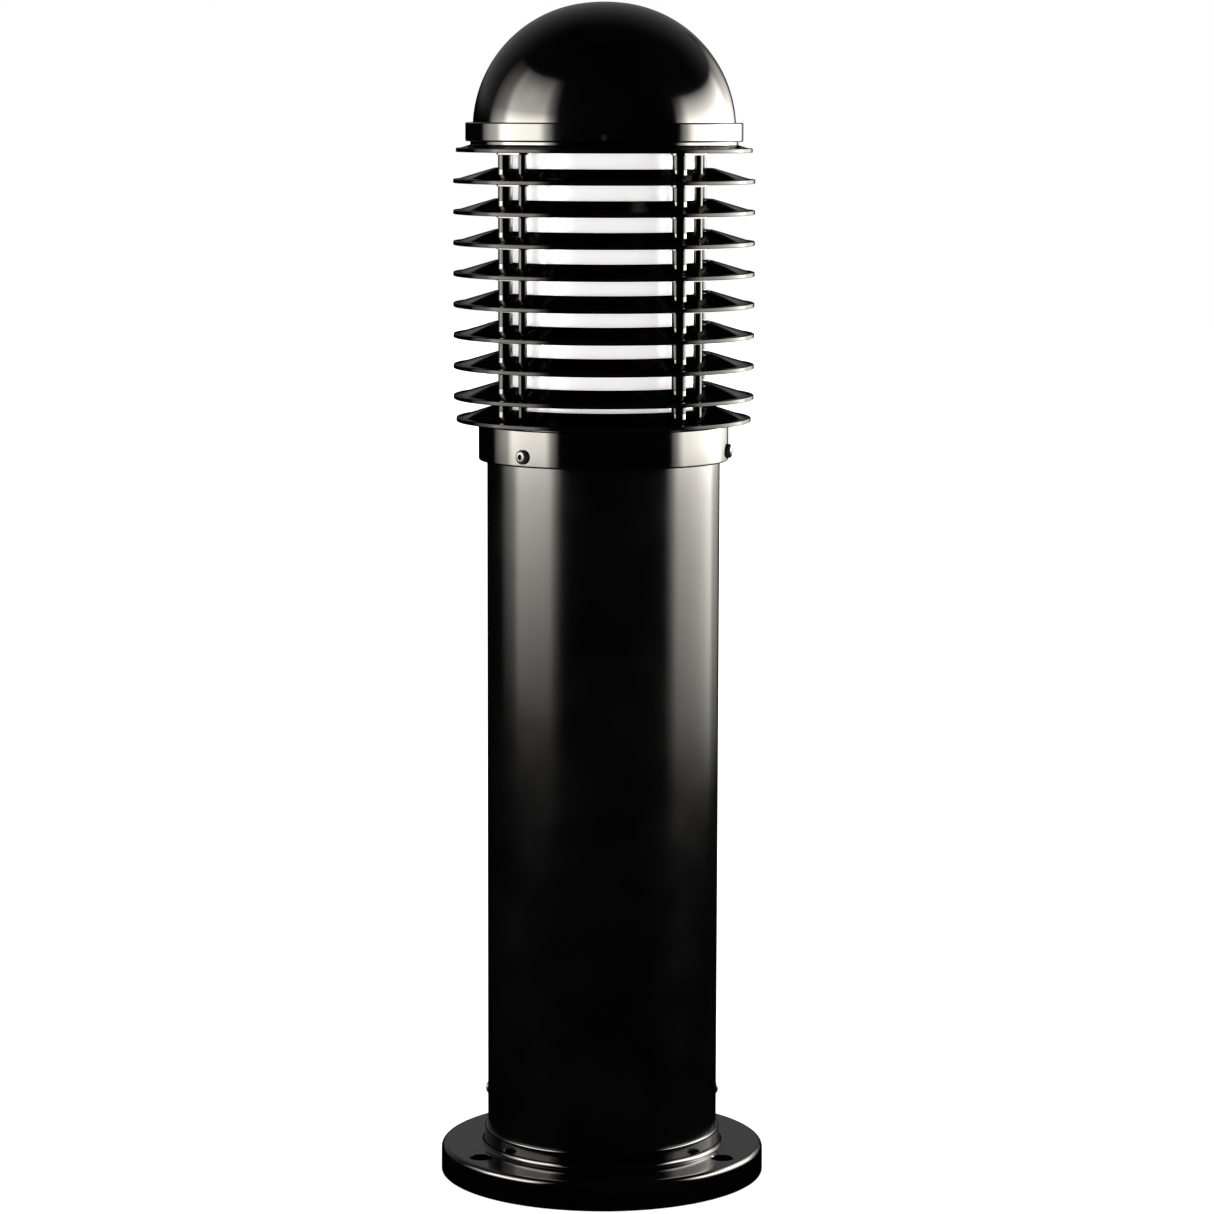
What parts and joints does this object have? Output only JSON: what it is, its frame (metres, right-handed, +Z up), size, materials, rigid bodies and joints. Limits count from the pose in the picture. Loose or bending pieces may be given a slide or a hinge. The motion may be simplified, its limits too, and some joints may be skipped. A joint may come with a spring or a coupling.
{
  "type": "louvred bollard light",
  "caption": "Round bollard light: flanged cast base, plain tube column, louvred lamp head with an opal diffuser, and a lift-off dome.",
  "frame": {"origin": "centre of the base flange's underside", "axes": "+Z up along the column's axis; the front is towards -Y"},
  "size_m": [0.286, 0.286, 1.0294],
  "materials": {
    "black_enamel_casting": "gloss black enamel on cast aluminium",
    "black_enamel_tube": "gloss black enamel on extruded aluminium tube",
    "black_steel": "black oxide steel",
    "zinc_steel": "zinc plated steel",
    "brass": "turned brass",
    "opal_acrylic": "opal acrylic, lightly frosted",
    "gasket_rubber": "moulded silicone rubber",
    "bright_aluminium": "bright spun aluminium",
    "white_steel": "gloss white stove enamel",
    "porcelain": "glazed porcelain",
    "lamp_glass": "clear blown glass",
    "quartz": "fused quartz",
    "lamination_steel": "varnished steel laminations",
    "winding": "varnished winding under tape",
    "black_plastic": "moulded plastic",
    "white_plastic": "moulded plastic",
    "silicone_lead": "silicone insulated lead"
  },
  "bodies": {
    "base": {"base_casting": "black_enamel_casting", "column_tube": "black_enamel_tube", "column_screws": "black_steel", "earth_stud": "brass"},
    "head": {"head_base": "black_enamel_casting", "louvre_1": "black_enamel_casting", "louvre_2": "black_enamel_casting", "louvre_3": "black_enamel_casting", "louvre_4": "black_enamel_casting", "louvre_5": "black_enamel_casting", "louvre_6": "black_enamel_casting", "louvre_7": "black_enamel_casting", "louvre_8": "black_enamel_casting", "post_spacers_short": "black_enamel_casting", "post_spacers": "black_enamel_casting", "tie_bolts": "zinc_steel", "locating_rods": "black_steel", "cap_ring": "black_enamel_casting", "diffuser": "opal_acrylic", "diffuser_gasket_lower": "gasket_rubber", "diffuser_gasket_upper": "gasket_rubber", "dome_gasket": "gasket_rubber", "lamp_bracket": "white_steel", "bracket_screws": "zinc_steel", "lampholder_body": "porcelain", "socket_shell": "brass", "centre_contact": "brass", "lampholder_nipple": "zinc_steel", "lampholder_nut": "zinc_steel", "gear_tray": "zinc_steel", "tray_screws": "zinc_steel", "gear_screws": "zinc_steel", "ballast_core": "lamination_steel", "ballast_coil": "winding", "ignitor": "black_plastic", "capacitor": "bright_aluminium", "capacitor_clip": "zinc_steel", "terminal_block": "white_plastic", "cable_clamp": "black_plastic", "lamp_lead": "silicone_lead", "ballast_lead": "silicone_lead", "ignitor_lead": "silicone_lead"},
    "dome": {"dome_shell": "black_enamel_casting", "top_reflector": "bright_aluminium", "reflector_screws": "zinc_steel"},
    "lamp": {"lamp_base": "brass", "lamp_bulb": "lamp_glass", "arc_tube": "quartz"},
    "collar_screw_1": {"collar_screw_1": "black_steel"},
    "collar_screw_2": {"collar_screw_2": "black_steel"},
    "collar_screw_3": {"collar_screw_3": "black_steel"},
    "dome_screw_1": {"dome_screw_1": "black_steel"},
    "dome_screw_2": {"dome_screw_2": "black_steel"},
    "dome_screw_3": {"dome_screw_3": "black_steel"}
  },
  "joints": [
    {"name": "head_lift", "type": "slide", "parent": "base", "child": "head", "axis": [0, 0, 1], "range_m": [0, 0.3]},
    {"name": "dome_lift", "type": "slide", "parent": "head", "child": "dome", "axis": [0, 0, 1], "range_m": [0, 0.2]},
    {"name": "lamp_unscrew", "type": "hinge", "parent": "head", "child": "lamp", "pos_m": [0, 0, 0.71], "axis": [0, 0, 1], "range_deg": [0, 900]},
    {"name": "collar_screw_1_out", "type": "slide", "parent": "head", "child": "collar_screw_1", "axis": [-0.6293, -0.7771, 0], "range_m": [0, 0.006]},
    {"name": "collar_screw_2_out", "type": "slide", "parent": "head", "child": "collar_screw_2", "axis": [0.9877, -0.1564, 0], "range_m": [0, 0.006]},
    {"name": "collar_screw_3_out", "type": "slide", "parent": "head", "child": "collar_screw_3", "axis": [-0.3584, 0.9336, 0], "range_m": [0, 0.006]},
    {"name": "dome_screw_1_out", "type": "slide", "parent": "head", "child": "dome_screw_1", "axis": [0, -1, 0], "range_m": [0, 0.004]},
    {"name": "dome_screw_2_out", "type": "slide", "parent": "head", "child": "dome_screw_2", "axis": [0.866, 0.5, 0], "range_m": [0, 0.004]},
    {"name": "dome_screw_3_out", "type": "slide", "parent": "head", "child": "dome_screw_3", "axis": [-0.866, 0.5, 0], "range_m": [0, 0.004]}
  ]
}
